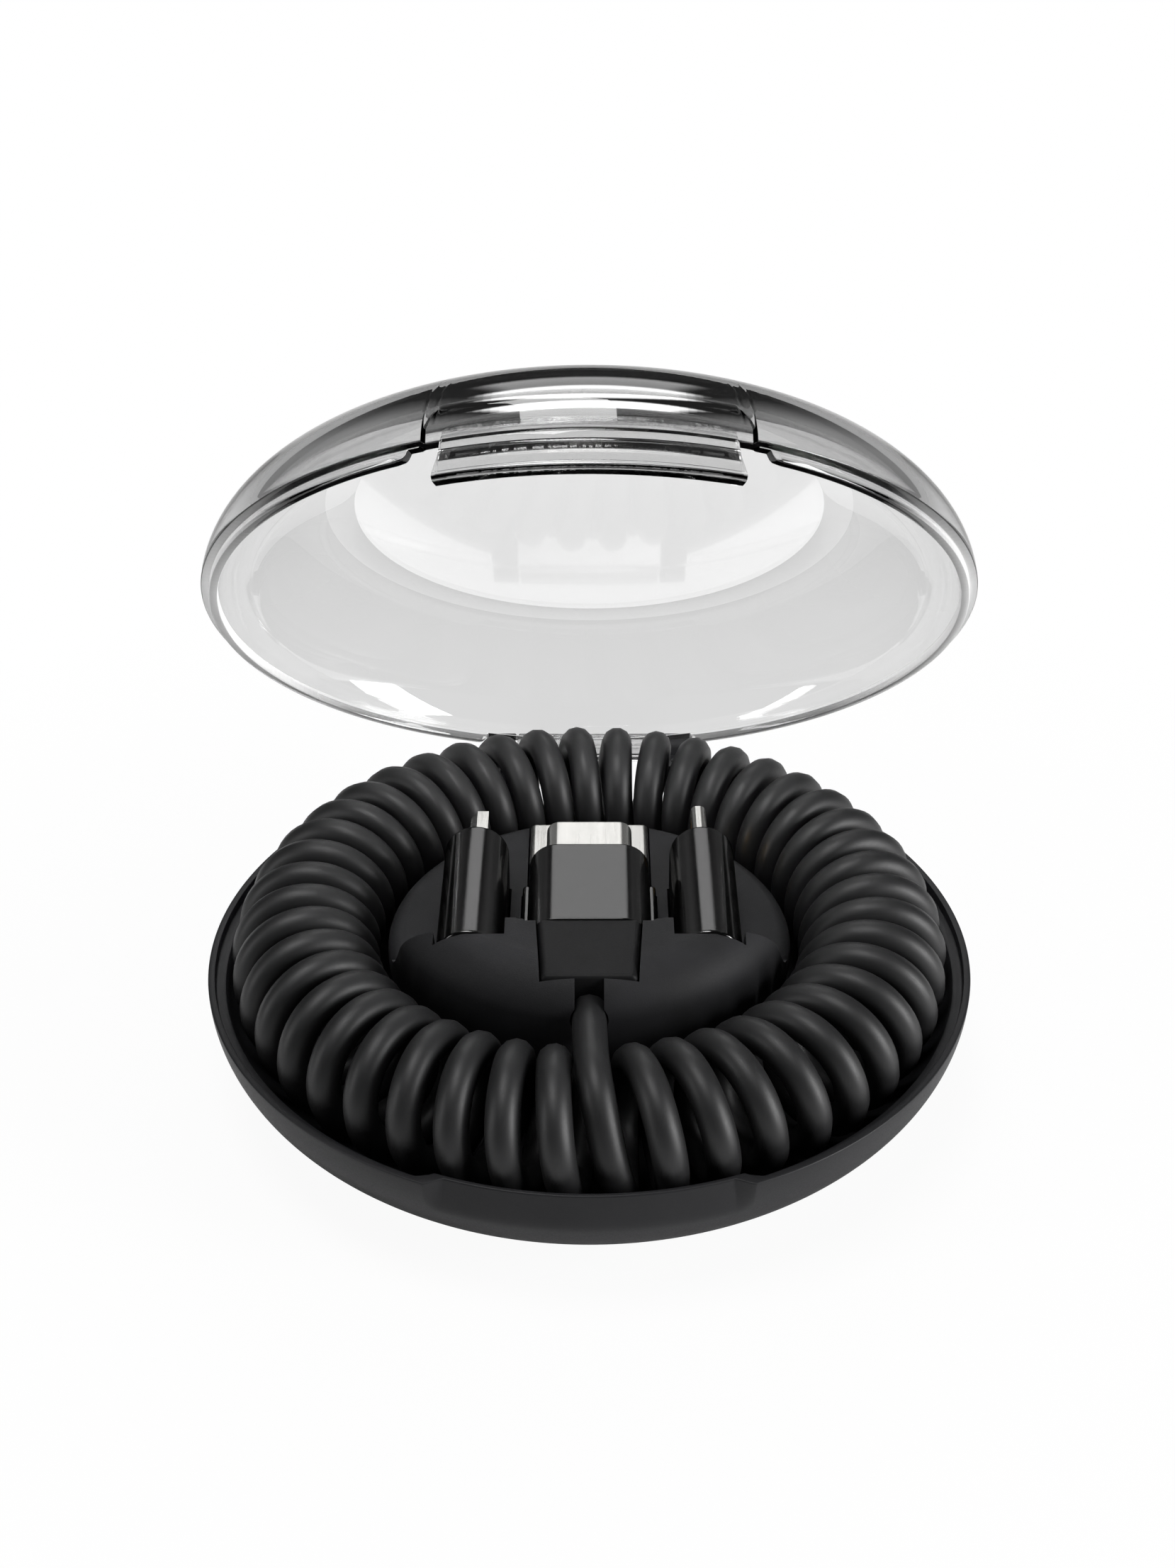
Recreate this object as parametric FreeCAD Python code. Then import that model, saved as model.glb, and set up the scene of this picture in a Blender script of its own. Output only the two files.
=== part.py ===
import math
import os

import FreeCAD
import Part

os.makedirs("parts", exist_ok=True)
V = FreeCAD.Vector

# fits, and how far a cutter reaches past what it cuts
slack = 0.15
running = 0.08
swing_gap = 0.3
over = 1.0

# the bowl stands on z = 0 and its rim plane is at base_depth; other heights are above that plane
base_depth = 12.0
c_rise = 6.9
adapter_rise = 4.25
disc_rise = 2.4
hill_rise = 9.8
coil_rise = 0.6

# plug one lies on top, tip to the back
c_z = base_depth + c_rise
c_tip = 9.6
c_shell_out = 6.65
c_shell_width = 8.34
c_shell_height = 2.56
c_slot = (6.7, 0.9)
c_contact = (0.4, 0.15)
c_pitch = 1.1
c_body_width = 11.5
c_body_height = 6.2
c_body_near = -9.55
boot_end = -17.45
boot_far = (9.45, 5.9)
boot_near = (8.5, 5.0)
boot_corner = 1.3
shell_wall = 0.3
root = 1.5

# plug two lies under plug one
a_z = c_z - c_body_height
a_tip = 17.16
a_shell_out = 12.34
a_shell_width = 12.0
a_shell_height = 4.5
a_body_width = 13.0
a_body_near = -6.0
a_boot_end = -16.5
a_boot_near = (8.4, 5.0)
a_corner = 1.2
a_tongue = (10.9, 1.84)
a_contact = (1.2, 0.15)
a_places = (-3.5, -1.0, 1.0, 3.5)

# two adapters stand on edge beside the plugs
adapter_x = 10.9
adapter_z = base_depth + adapter_rise
adapter_near = -11.6
adapter_far = 6.1
micro_tip = (6.85, 1.8)
micro_out = 6.1
micro_bevel = (0.7, 0.9)
micro_slit = (0.4, 4.8)
blade_tip = (6.7, 1.5)
blade_out = 7.2
blade_pads = (2.4, 5.2)
pad_pitch = 0.65
pad_gap = 0.2
socket_width = 8.94
socket_height = 3.16
socket_depth = 6.8
socket_tongue = (0.7, 6.7)

# holder in the middle, round the plugs
holder_wall = 1.9
holder_radius = holder_wall - boot_end
holder_foot = 3.0
disc_top = base_depth + disc_rise
disc_round = 1.5
hill_top = base_depth + hill_rise
hill_round = 4.0
hill_back = -9.1
ramp_near = -11.8
ramp_far = -5.3
ramp_steps = 10
slot_half = 1.3

# coiled cable round the holder: an oval ring, open at the front where both ends leave it
cable_radius = 1.55
coil_gap = 0.75
coil_half_width = 7.05
coil_half_height = 7.0
coil_radius = holder_radius + coil_gap + coil_half_width
coil_z = base_depth + coil_rise
coil_start = 8.0
coil_end = -9.0

# leads: sideways, out from the ring's middle circle, up from its middle
front_route = [(0.0, -5.35, 5.3), (0.35, 1.45, 6.3), (1.7, 5.35, -0.8), (5.6, 4.7, -3.3)]
rear_route = [(0.0, -3.55, 0.1), (-6.9, -0.95, 0.1)]
c_exit_z = coil_z + front_route[0][2]

# case: a bowl round the coil, with a rebate inside its rim for the lid's lip
bowl_gap = 0.65
rim_wall = 1.65
rim_inner = coil_radius + coil_half_width + bowl_gap
rim_radius = rim_inner + rim_wall
wall_curve = 15.5
base_flat = rim_radius - wall_curve
floor_wall = 1.6
rim_ledge = 0.65
rebate_radius = rim_radius - rim_ledge
rebate_depth = 1.0
clear = 3 * rim_radius

# latch: a scoop in the bowl and a tab on the lid
scoop_half = 13.94
scoop_cut = 1.2
scoop_radius = rim_radius - scoop_cut
scoop_drop = 3.0
land_half = 13.56
land_cut = 0.55
land_radius = rim_radius - land_cut
land_rise = 3.1
tab_half = 12.07
tab_root = scoop_radius + swing_gap
tab_rise = 1.2
tab_drop = 4.4
tab_flare = 1.15
tab_wall = 0.75
bead_radius = 0.45

# lid: drawn shut, then swung to its open rest
lid_height = 11.24
dome_curve = 14.84
lid_flat = rim_radius - dome_curve
lid_wall = 1.6
lid_inner = rim_radius - lid_wall
window_edge = 0.92
window_radius = lid_flat + window_edge
window_wall = 0.92
crown_set = 4.26
lip_wall = 0.75
lip_outer = rebate_radius - slack
lip_drop = rebate_depth - slack
seam = 0.1
open_angle = 50.93

# hinge at the back
hinge_out = 0.98
hinge_sink = 0.1
hinge_y = rim_radius + hinge_out
hinge_z = base_depth - hinge_sink
notch_half = 8.95
notch_drop = 6.0
barrel_half = 7.95
barrel_radius = 1.45
ear_width = 2.9
ear_web = [(-3.85, 0.0), (-1.05, 0.0), (0.9, -0.9), (-1.75, -3.5), (-3.85, -3.9)]
tongue_side = [(-2.75, 0.3), (-2.15, -0.6), (0.0, -1.2), (0.0, 1.2), (-1.35, 2.9), (-2.45, 2.9)]
pin_radius = 0.6

full = 360.0


def face(points):
    return Part.Face(Part.makePolygon(points + [points[0]]))


def turned(points, half=None):
    # a profile of (radius, height) pairs turned round Z, all the way or over a front width
    flat = face([V(r, 0, z) for r, z in points])
    if half is None:
        return flat.revolve(V(0, 0, 0), V(0, 0, 1), full)
    sweep = math.degrees(math.asin(half / rim_radius))
    flat.rotate(V(0, 0, 0), V(0, 0, 1), -90 - sweep)
    return flat.revolve(V(0, 0, 0), V(0, 0, 1), 2 * sweep)


def box(x0, x1, y0, y1, z0, z1):
    return Part.makeBox(x1 - x0, y1 - y0, z1 - z0, V(x0, y0, z0))


def bar_x(half, radius, y, z):
    return Part.makeCylinder(radius, 2 * half, V(-half, y, z), V(1, 0, 0))


def quarter(right, low, centre, stop=math.pi / 2):
    return Part.ArcOfEllipse(Part.Ellipse(right, low, centre), 0, stop).toShape()


def line(a, b):
    return Part.LineSegment(a, b).toShape()


def rounded(width, height, corner, x, y, z, grow=0.0):
    # rounded rectangle across the Y direction, as a wire
    a = width / 2 + grow
    b = height / 2 + grow
    r = min(corner + grow, a, b)
    k = r * (1 - math.sqrt(0.5))
    parts = []
    for su, sw, flip in ((1, 1, False), (1, -1, True), (-1, -1, False), (-1, 1, True)):
        p = V(x + su * (a - r), y, z + sw * b)
        m = V(x + su * (a - k), y, z + sw * (b - k))
        q = V(x + su * a, y, z + sw * (b - r))
        ends = (q, m, p) if flip else (p, m, q)
        parts.append((Part.Arc(*ends).toShape(), ends[0], ends[2]))
    edges = []
    for i, (arc, start, stop) in enumerate(parts):
        edges.append(arc)
        following = parts[(i + 1) % 4][1]
        if stop.distanceToPoint(following) > 1e-6:
            edges.append(line(stop, following))
    return Part.Wire(edges)


def prism(width, height, corner, x, z, y0, y1, grow=0.0):
    return Part.Face(rounded(width, height, corner, x, y0, z, grow)).extrude(V(0, y1 - y0, 0))


def loft(*wires):
    return Part.makeLoft(list(wires), True, True)


def tube(points, radius):
    # straight runs joined by tangent arcs
    edges = []
    radii = []
    start = points[0]
    for before, corner, after in zip(points, points[1:], points[2:]):
        come = (corner - before).normalize()
        go = (after - corner).normalize()
        half = come.getAngle(go) / 2
        reach = 0.45 * min((corner - before).Length, (after - corner).Length)
        radii.append(reach / math.tan(half))
        p = corner - come * reach
        q = corner + go * reach
        inward = (go - come).normalize()
        m = corner + inward * (radii[-1] / math.cos(half) - radii[-1])
        edges += [line(start, p), Part.Arc(p, m, q).toShape()]
        start = q
    edges.append(line(start, points[-1]))
    spine = Part.Wire(edges)
    ring = Part.Wire(Part.makeCircle(radius, points[0], points[1] - points[0]))
    solid = spine.makePipeShell([ring], True, False)
    print("cord radii", [round(r, 2) for r in radii], "length", round(spine.Length, 1))
    print("volume", round(solid.Volume, 2), "of", round(math.pi * radius ** 2 * spine.Length, 2))
    return solid


def placed(route):
    return [V(x, -coil_radius - out, coil_z + up) for x, out, up in route]


def side_of(angle, keep_right):
    # a large block on one side of the upright plane through the axis at this angle from the front
    left, right = (0, clear) if keep_right else (-clear, 0)
    block = box(left, right, -clear, 0, -clear, clear)
    block.rotate(V(0, 0, 0), V(0, 0, 1), angle)
    return block


def save(name, shape):
    shape = shape.removeSplitter()
    if len(shape.Solids) != 1 or not shape.isValid():
        print("look at", name, len(shape.Solids), shape.isValid())
    shape.Solids[0].exportStep("parts/" + name + ".step")


# base: bowl, rebate, latch scoop, hinge cut-out and ears
outer = quarter(V(rim_radius, 0, base_depth), V(base_flat, 0, 0), V(base_flat, 0, base_depth))
inner = quarter(V(rim_inner, 0, base_depth), V(base_flat, 0, floor_wall), V(base_flat, 0, base_depth))
bowl_wire = Part.Wire([
    line(V(0, 0, floor_wall), V(0, 0, 0)),
    line(V(0, 0, 0), V(base_flat, 0, 0)),
    outer,
    line(V(rim_radius, 0, base_depth), V(rim_inner, 0, base_depth)),
    inner,
    line(V(base_flat, 0, floor_wall), V(0, 0, floor_wall)),
])
base = Part.Face(bowl_wire).revolve(V(0, 0, 0), V(0, 0, 1), full)
rebate_low = base_depth - rebate_depth
rebate = turned([
    (coil_radius, rebate_low), (rebate_radius, rebate_low),
    (rebate_radius, base_depth + over), (coil_radius, base_depth + over)])
base = base.cut(rebate.cut(box(-scoop_half, scoop_half, -clear, 0, 0, clear)))
scoop_low = base_depth - scoop_drop
scoop_edge = base_flat + (rim_radius - base_flat) * math.sqrt(1 - (scoop_drop / base_depth) ** 2)
base = base.cut(turned([
    (scoop_radius, base_depth), (scoop_radius, base_depth + over), (rim_radius + over, base_depth + over),
    (rim_radius + over, scoop_low), (scoop_edge, scoop_low)], scoop_half))
base = base.cut(box(-notch_half, notch_half, base_flat, clear, base_depth - notch_drop, base_depth + over))
ear_inner = barrel_half + swing_gap
for side in (-1, 1):
    x = ear_inner if side > 0 else -ear_inner - ear_width
    web = face([V(x, hinge_y + u, hinge_z + w) for u, w in ear_web]).extrude(V(ear_width, 0, 0))
    ear = Part.makeCylinder(barrel_radius, ear_width, V(x, hinge_y, hinge_z), V(1, 0, 0))
    base = base.fuse(web.fuse(ear))
pin_half = ear_inner + ear_width
pin = bar_x(pin_half, pin_radius, hinge_y, hinge_z)
base = base.cut(pin)
save("base_shell", base)
save("hinge_pin", pin)

# lid: dome with a flat window, rim lip, latch tab and hinge barrel, drawn shut
crown = base_depth + lid_height
ceiling = crown - window_wall
dome_out = quarter(V(rim_radius, 0, base_depth), V(lid_flat, 0, crown), V(lid_flat, 0, base_depth))
crown_r = lid_flat - crown_set
crown_turn = math.acos((window_radius - crown_r) / (lid_inner - crown_r))
crown_z = base_depth + (lid_height - window_wall) / math.sin(crown_turn)
dome_in = quarter(V(lid_inner, 0, base_depth), V(crown_r, 0, crown_z), V(crown_r, 0, base_depth), crown_turn)
dome_wire = Part.Wire([
    line(V(0, 0, ceiling), V(0, 0, crown)),
    line(V(0, 0, crown), V(lid_flat, 0, crown)),
    dome_out,
    line(V(rim_radius, 0, base_depth), V(lid_inner, 0, base_depth)),
    dome_in,
    line(V(window_radius, 0, ceiling), V(0, 0, ceiling)),
])
lid = Part.Face(dome_wire).revolve(V(0, 0, 0), V(0, 0, 1), full)
lid = lid.cut(box(-clear, clear, -clear, clear, base_depth - over, base_depth + seam))
lid = lid.cut(turned([
    (land_radius, base_depth - over), (rim_radius + over, base_depth - over),
    (rim_radius + over, base_depth + land_rise), (land_radius, base_depth + land_rise)], land_half))
lip_inner = lip_outer - lip_wall
lip_low = base_depth - lip_drop
lip = turned([
    (lip_inner, lip_low), (lip_outer, lip_low), (lip_outer, base_depth + over), (lip_inner, base_depth + over)])
lip_break = pin_half + swing_gap
lip = lip.cut(box(-scoop_half, scoop_half, -clear, 0, 0, clear))
lip = lip.cut(box(-lip_break, lip_break, 0, clear, 0, clear))
lid = lid.fuse(lip)
tab_top = base_depth + tab_rise
tab = turned([
    (tab_root, tab_top), (tab_root, base_depth), (tab_root + tab_flare, base_depth - tab_drop),
    (tab_root + tab_flare + tab_wall, base_depth - tab_drop), (tab_root + tab_wall, base_depth),
    (land_radius, tab_top)], tab_half)
lid = lid.fuse(tab)
bead_r = tab_root + tab_flare + tab_wall
bead_z = base_depth - tab_drop + bead_radius
bead = turned([
    (bead_r + bead_radius * math.cos(a * math.pi / 4), bead_z + bead_radius * math.sin(a * math.pi / 4))
    for a in range(8)], tab_half)
lid = lid.fuse(bead)
tongue = face([V(-barrel_half, hinge_y + u, hinge_z + w) for u, w in tongue_side])
tongue = tongue.extrude(V(2 * barrel_half, 0, 0))
lid = lid.fuse(tongue.fuse(bar_x(barrel_half, barrel_radius, hinge_y, hinge_z)))
lid = lid.cut(bar_x(barrel_half + over, pin_radius + running, hinge_y, hinge_z))
lid.rotate(V(0, hinge_y, hinge_z), V(1, 0, 0), -open_angle)
save("lid", lid)

# cable: the oval ring and its two leads
ring_out = V(coil_radius + coil_half_width, 0, coil_z)
ring_top = V(coil_radius, 0, coil_z + coil_half_height)
ring_ends = (ring_out, ring_top) if coil_half_width > coil_half_height else (ring_top, ring_out)
ring_face = Part.Face(Part.Wire(Part.Ellipse(*ring_ends, V(coil_radius, 0, coil_z)).toShape()))
ring_face.rotate(V(0, 0, 0), V(0, 0, 1), coil_start - 90)
coil = ring_face.revolve(V(0, 0, 0), V(0, 0, 1), full - coil_start + coil_end)
save("cable_coil", coil)
front = tube([V(0, boot_end, c_exit_z)] + placed(front_route), cable_radius)
front = front.cut(side_of(coil_start, True))
save("cable_lead_front", front)
rear = tube([V(0, a_boot_end, a_z)] + placed(rear_route), cable_radius)
rear = rear.cut(side_of(coil_end, False))
save("cable_lead_rear", rear)

# plug one: shell, insert, contacts, body and boot
c_face = c_tip - c_shell_out
c_round = c_shell_height / 2
c_outer = prism(c_shell_width, c_shell_height, c_round, 0, c_z, c_face - root, c_tip)
c_inner = prism(c_shell_width, c_shell_height, c_round, 0, c_z, c_face - root, c_tip, -shell_wall)
save("type_c_shell", c_outer.cut(c_inner))
slot_floor = c_z - c_slot[1] / 2
slot_root = c_face + 2 * shell_wall
c_cut = prism(c_slot[0], c_slot[1], shell_wall, 0, c_z, slot_root, c_tip)
comb_half = 2.5 * c_pitch + c_contact[0] / 2
comb = box(-comb_half, comb_half, slot_root, slot_root + c_contact[0], slot_floor, c_z)
for i in range(6):
    x = (i - 2.5) * c_pitch - c_contact[0] / 2
    comb = comb.fuse(box(
        x, x + c_contact[0], slot_root, c_tip - 4 * shell_wall, slot_floor, slot_floor + c_contact[1]))
save("type_c_insert", c_inner.cut(c_cut))
save("type_c_contacts", comb)
c_body = prism(c_body_width, c_body_height, c_body_height / 2, 0, c_z, c_body_near, c_face)
save("type_c_housing", c_body.cut(c_outer))
boot = loft(
    rounded(boot_far[0], boot_far[1], boot_corner, 0, c_body_near, c_z),
    rounded(boot_near[0], boot_near[1], boot_corner, 0, boot_end, c_z))
save("type_c_boot", boot)

# plug two: shell, tongue, contacts and body
a_face = a_tip - a_shell_out
a_root = a_face - root
a_round = 0.5
a_outer = prism(a_shell_width, a_shell_height, a_round, 0, a_z, a_root, a_tip)
a_inner = prism(a_shell_width, a_shell_height, a_round, 0, a_z, a_root, a_tip, -shell_wall)
save("type_a_shell", a_outer.cut(a_inner))
tongue_z = a_z + a_shell_height / 2 - shell_wall - a_tongue[1]
tongue_half = a_tongue[0] / 2
a_block = box(-tongue_half, tongue_half, a_root, a_tip - a_round, tongue_z, tongue_z + a_tongue[1])
contact_half = a_contact[0] / 2
contact_z = tongue_z - a_contact[1]
comb_half = a_places[-1] + contact_half
a_comb = box(-comb_half, comb_half, a_root, a_root + contact_half, contact_z - a_contact[1], tongue_z)
for x in a_places:
    a_comb = a_comb.fuse(box(
        x - contact_half, x + contact_half, a_root, a_tip - 4 * a_round, contact_z, tongue_z))
save("type_a_tongue", a_block)
save("type_a_contacts", a_comb)
a_body = prism(a_body_width, c_body_height, a_corner, 0, a_z, a_body_near, a_face)
a_boot = loft(
    rounded(a_body_width, c_body_height, a_corner, 0, a_body_near, a_z),
    rounded(a_boot_near[0], a_boot_near[1], a_corner, 0, a_boot_end, a_z))
save("type_a_housing", a_body.fuse(a_boot).cut(a_outer))

# adapters: body, tip and socket
for name, x in (("micro_b", -adapter_x), ("blade", adapter_x)):
    body = prism(c_body_height, c_body_width, c_body_height / 2, x, adapter_z, adapter_near, adapter_far)
    reach = adapter_near + socket_depth
    section = (socket_height, socket_width, socket_height / 2, x, adapter_z)
    hole = prism(*section, adapter_near, reach)
    mouth = prism(*section, adapter_near, reach, -shell_wall)
    a = socket_tongue[0] / 2
    b = socket_tongue[1] / 2
    blade = box(x - a, x + a, adapter_near + 2 * shell_wall, reach, adapter_z - b, adapter_z + b)
    save(name + "_socket_shell", hole.cut(mouth))
    save(name + "_socket_tongue", blade)
    body = body.cut(prism(*section, adapter_near - over, reach))
    if name == "micro_b":
        a = micro_tip[1] / 2
        b = micro_tip[0] / 2
        far = adapter_far + micro_out
        in_x = micro_bevel[0] - a
        in_z = b - micro_bevel[1]
        outline = [(a, -b), (a, b), (in_x, b), (-a, in_z), (-a, -in_z), (in_x, -b)]
        thin = [(u * (1 - shell_wall / a), w * (1 - shell_wall / b)) for u, w in outline]
        back = adapter_far - root
        tip = face([V(x + u, back, adapter_z + w) for u, w in outline]).extrude(V(0, far - back, 0))
        core = face([V(x + u, back, adapter_z + w) for u, w in thin]).extrude(V(0, far - back, 0))
        c = micro_slit[1] / 2
        slit = box(x, x + micro_slit[0], adapter_far + over, far, adapter_z - c, adapter_z + c)
        save("micro_b_shell", tip.cut(core))
        save("micro_b_insert", core.cut(slit))
        body = body.cut(tip)
    else:
        far = adapter_far + blade_out
        a = blade_tip[1] / 2
        b = blade_pads[1] / 2
        stop = far - blade_tip[1]
        start = stop - blade_pads[0]
        tip = prism(blade_tip[1], blade_tip[0], 0.8 * a, x, adapter_z, adapter_far - root, far)
        pads = box(x - a, x + a, start, stop, adapter_z - b, adapter_z + b)
        save("blade_tip", tip.cut(pads))
        groove = a - pad_gap
        for i in range(9):
            z = adapter_z - b + pad_pitch * i - pad_gap / 2
            pads = pads.cut(box(x + groove, x + a, start, stop, z, z + pad_gap))
            pads = pads.cut(box(x - a, x - groove, start, stop, z, z + pad_gap))
        save("blade_contacts", pads)
        body = body.cut(tip)
    save(name + "_housing", body)

# holder: a low disc, a raised front half that ramps down at its sides, and a pocket for each piece
disc_arc = disc_round * (1 - math.sqrt(0.5))
hill_arc = hill_round * (1 - math.sqrt(0.5))


def drum(top, radius, curve):
    start = V(holder_radius, 0, top - radius)
    stop = V(holder_radius - radius, 0, top)
    middle = V(holder_radius - curve, 0, top - curve)
    wire = Part.Wire([
        line(V(0, 0, floor_wall), V(holder_radius - holder_foot, 0, floor_wall)),
        line(V(holder_radius - holder_foot, 0, floor_wall), V(holder_radius, 0, base_depth)),
        line(V(holder_radius, 0, base_depth), start),
        Part.Arc(start, middle, stop).toShape(),
        line(stop, V(0, 0, top)),
        line(V(0, 0, top), V(0, 0, floor_wall)),
    ])
    return Part.Face(wire).revolve(V(0, 0, 0), V(0, 0, 1), full)


def pocket(plan, low, high):
    # an upright pocket from its right-hand plan outline, mirrored to the left
    outline = plan + [(-u, w) for u, w in reversed(plan)]
    return face([V(u, w, low) for u, w in outline]).extrude(V(0, 0, high - low))


holder = drum(disc_top, disc_round, disc_arc)
hill = drum(hill_top, hill_round, hill_arc)
ramp_top = hill_top + slack
ramp_fall = ramp_top - disc_top + slack
ramp_step = (ramp_far - ramp_near) / ramp_steps
slope = [(ramp_near + ramp_step * i, ramp_top - ramp_fall * (1 - math.cos(math.pi * i / ramp_steps)) / 2)
         for i in range(ramp_steps + 1)]
ramp_side = [(-clear, floor_wall), (-clear, ramp_top)] + slope + [(ramp_far, floor_wall)]
ramp = face([V(-clear, y, z) for y, z in ramp_side]).extrude(V(2 * clear, 0, 0))
flanks = hill.common(ramp).cut(box(-adapter_x, adapter_x, -clear, clear, 0, clear))
middle = hill.common(box(-adapter_x, adapter_x, -clear, hill_back, 0, clear))
holder = holder.fuse(middle).fuse(flanks)
c_low = c_z - c_body_height / 2
a_low = a_z - c_body_height / 2
body_half = a_body_width / 2 + slack
shell_half = a_shell_width / 2 + slack
holder = holder.cut(box(-body_half, body_half, hill_back - slack, a_face + slack, a_low, clear))
shell_low = a_z - a_shell_height / 2 - slack
holder = holder.cut(box(-shell_half, shell_half, a_face, a_tip + 2 * slack, shell_low, clear))
a_plan = [(body_half, a_body_near), (a_boot_near[0] / 2 + slack, a_boot_end)]
holder = holder.cut(pocket(a_plan, a_low, c_low))
mouth_half = c_body_width / 2 + slack
plan = [(body_half, hill_back + slack), (mouth_half, c_body_near + slack), (mouth_half, c_body_near),
        (boot_far[0] / 2 + slack, c_body_near), (boot_near[0] / 2 + slack, boot_end)]
holder = holder.cut(pocket(plan, c_low, clear))
bore = cable_radius + slack
exit_hole = Part.makeCylinder(bore, clear, V(0, boot_end + over, c_exit_z), V(0, -1, 0))
holder = holder.cut(exit_hole).cut(box(-slot_half, slot_half, -clear, boot_end + over, c_exit_z, clear))
holder = holder.cut(Part.makeCylinder(bore, clear, V(0, a_boot_end + over, a_z), V(0, -1, 0)))
edge_half = c_body_height / 2 + slack
edge_low = adapter_z - c_body_width / 2
for x, tip, out in ((-adapter_x, micro_tip, micro_out), (adapter_x, blade_tip, blade_out)):
    stop = adapter_far + slack
    holder = holder.cut(box(x - edge_half, x + edge_half, adapter_near, stop, edge_low, clear))
    stop = adapter_far + out + 3 * slack
    holder = holder.cut(box(x - tip[1], x + tip[1], adapter_far, stop, edge_low, clear))
save("connector_holder", holder)
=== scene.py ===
import math

import bmesh
import bpy
import numpy as np
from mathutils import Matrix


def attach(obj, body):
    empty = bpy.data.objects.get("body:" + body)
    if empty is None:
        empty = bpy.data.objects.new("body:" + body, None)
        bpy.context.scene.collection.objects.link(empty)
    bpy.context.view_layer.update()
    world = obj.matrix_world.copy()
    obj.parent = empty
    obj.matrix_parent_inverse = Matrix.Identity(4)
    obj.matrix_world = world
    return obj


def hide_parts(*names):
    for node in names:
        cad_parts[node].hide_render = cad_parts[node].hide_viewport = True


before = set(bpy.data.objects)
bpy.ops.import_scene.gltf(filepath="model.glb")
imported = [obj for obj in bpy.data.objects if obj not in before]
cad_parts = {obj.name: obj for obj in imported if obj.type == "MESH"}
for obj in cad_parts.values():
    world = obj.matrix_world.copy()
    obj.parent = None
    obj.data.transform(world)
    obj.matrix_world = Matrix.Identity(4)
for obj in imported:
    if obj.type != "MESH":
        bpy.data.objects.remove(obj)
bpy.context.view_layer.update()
mm = 0.001
print("frame loaded:", len(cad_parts), "nodes")


# Camera, from the photograph's own perspective

cameraSet = {
    "imageWidth": 1658, "imageHeight": 2212,   # pixels of the photograph
    "focalPixels": 3072.0,
    "axisPixel": 831.5,                        # column where the middle plane of the case falls
    "eye": (0.0, -170.90, 136.19),             # mm
    "pitchDown": 31.752,                       # degrees
}


def makeCamera(want):
    data = bpy.data.cameras.new("photoCamera")
    data.sensor_fit = "VERTICAL"
    data.sensor_height = 36.0
    data.lens = data.sensor_height * want["focalPixels"] / want["imageHeight"]
    data.shift_x = (want["imageWidth"] / 2 - want["axisPixel"]) / want["imageHeight"]
    data.clip_start = 0.01
    camera = bpy.data.objects.new("photoCamera", data)
    camera.location = [v * mm for v in want["eye"]]
    camera.rotation_euler = (math.radians(90 - want["pitchDown"]), 0, 0)
    bpy.context.scene.collection.objects.link(camera)
    bpy.context.scene.camera = camera


makeCamera(cameraSet)
bpy.context.scene.view_settings.view_transform = "Standard"
print("camera placed")


# Materials

def tint(hexText):
    # sRGB hex to linear colour
    c = np.array([int(hexText[i:i + 2], 16) / 255 for i in (1, 3, 5)])
    c = np.where(c <= 0.04045, c / 12.92, ((c + 0.055) / 1.055) ** 2.4)
    return (float(c[0]), float(c[1]), float(c[2]), 1.0)


noiseBand = (0.3, 0.7)   # most of a noise texture's values lie between these


def perMm(size):
    # noise scale for features of this many millimetres, on Object coordinates in metres
    return 1000.0 / size


def addNode(tree, kind, inputs=None, **settings):
    # one node: its own settings, then values for its sockets or sockets to link from
    node = tree.nodes.new(kind)
    for key, value in settings.items():
        setattr(node, key, value)
    for key, value in (inputs or {}).items():
        if isinstance(value, bpy.types.NodeSocket):
            tree.links.new(value, node.inputs[key])
        else:
            node.inputs[key].default_value = value
    return node


def emptyMaterial(name):
    material = bpy.data.materials.new(name)
    material.use_nodes = True
    material.node_tree.nodes.clear()
    return material, material.node_tree


def mouldedPlastic(name, look):
    # moulded plastic or rubber: two close greys in soft patches, a fine grit, and a slightly uneven polish
    material, tree = emptyMaterial(name)
    place = addNode(tree, "ShaderNodeTexCoord").outputs["Object"]
    patch = addNode(tree, "ShaderNodeTexNoise", {
        "Vector": place, "Scale": perMm(look["patch"]), "Detail": 3.0})
    grit = addNode(tree, "ShaderNodeTexNoise", {
        "Vector": place, "Scale": perMm(look["grit"]), "Detail": 2.0})
    ramp = addNode(tree, "ShaderNodeValToRGB", {"Fac": patch.outputs["Fac"]})
    low, high = ramp.color_ramp.elements
    low.position, high.position = noiseBand
    low.color, high.color = tint(look["dark"]), tint(look["pale"])
    polish = addNode(tree, "ShaderNodeMapRange", {
        "Value": grit.outputs["Fac"], "From Min": noiseBand[0], "From Max": noiseBand[1],
        "To Min": look["rough"] - look["spread"], "To Max": look["rough"] + look["spread"]})
    bump = addNode(tree, "ShaderNodeBump", {
        "Height": grit.outputs["Fac"], "Strength": look["strength"], "Distance": look["relief"] * mm})
    shader = addNode(tree, "ShaderNodeBsdfPrincipled", {
        "Base Color": ramp.outputs["Color"], "Roughness": polish.outputs["Result"],
        "Normal": bump.outputs["Normal"], "IOR": look["ior"], "Specular IOR Level": look["gloss"]})
    addNode(tree, "ShaderNodeOutputMaterial", {"Surface": shader.outputs["BSDF"]})
    return material


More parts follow.
